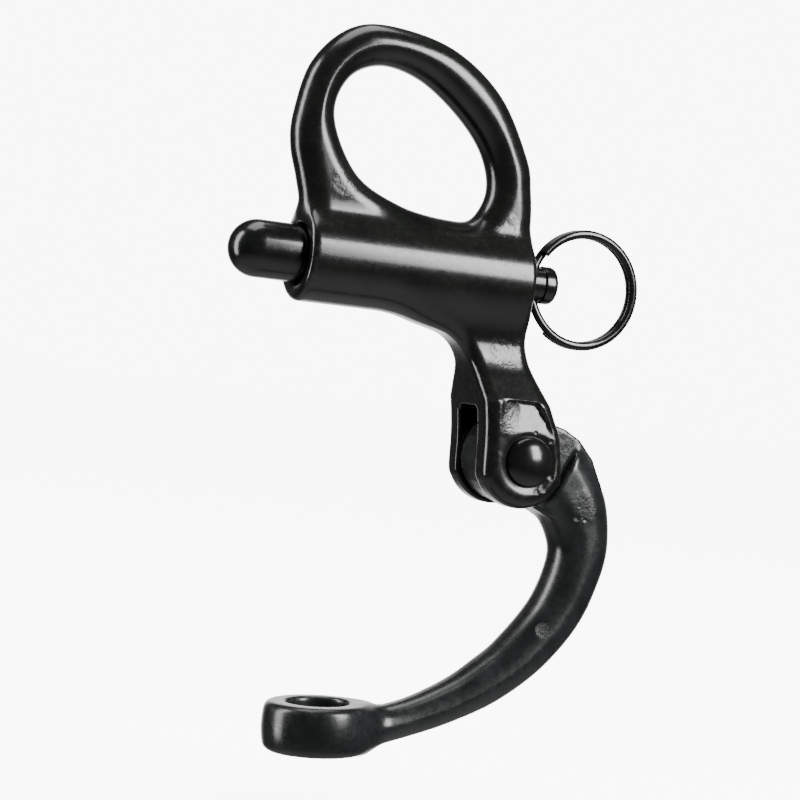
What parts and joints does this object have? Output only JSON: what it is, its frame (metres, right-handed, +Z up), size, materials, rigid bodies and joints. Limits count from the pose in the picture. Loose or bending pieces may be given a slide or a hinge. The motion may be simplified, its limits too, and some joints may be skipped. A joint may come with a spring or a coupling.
{
  "type": "snap shackle",
  "caption": "Snap shackle with a fixed bail, a spring-loaded locking plunger with a pull ring, and a curved gate arm hinged between two ears.",
  "frame": {"origin": "the top of the bail's inside edge, on the shackle's middle plane: where a rope or webbing bears when the shackle hangs", "axes": "+X along the plunger from its round nose to its ring end, +Z up to the bail, Y through the flat of the shackle, so -Y faces the viewer"},
  "size_m": [0.0608, 0.017, 0.099],
  "materials": {
    "body_coating": "gloss black coating on cast stainless steel",
    "arm_coating": "semi-gloss black coating on cast stainless steel",
    "pin_coating": "high-gloss black coating on turned stainless steel",
    "ring_coating": "gloss black coating on flat stainless wire, thin at the edges",
    "spring_steel": "drawn stainless spring wire"
  },
  "bodies": {
    "shackle_body": {"body": "body_coating", "pivot_rivet": "pin_coating", "plunger_spring": "spring_steel"},
    "gate": {"gate_arm": "arm_coating"},
    "locking_plunger": {"plunger": "pin_coating"},
    "ring": {"pull_ring": "ring_coating"}
  },
  "joints": [
    {"name": "gate_swing", "type": "hinge", "parent": "shackle_body", "child": "gate", "pos_m": [0.02445, 0, -0.0508], "axis": [0, 1, 0], "range_deg": [0, 90.6]},
    {"name": "plunger_slide", "type": "slide", "parent": "shackle_body", "child": "locking_plunger", "axis": [1, 0, 0], "range_m": [0, 0.01], "deforming": ["plunger_spring"]},
    {"name": "ring_swing", "type": "hinge", "parent": "locking_plunger", "child": "ring", "pos_m": [0.025, 0, -0.0264], "axis": [0, 0, 1], "range_deg": [-70, 70]}
  ],
  "couplings": [
    {"joint": "plunger_slide", "follows": "gate_swing", "m_per_rad": 0.0061}
  ]
}
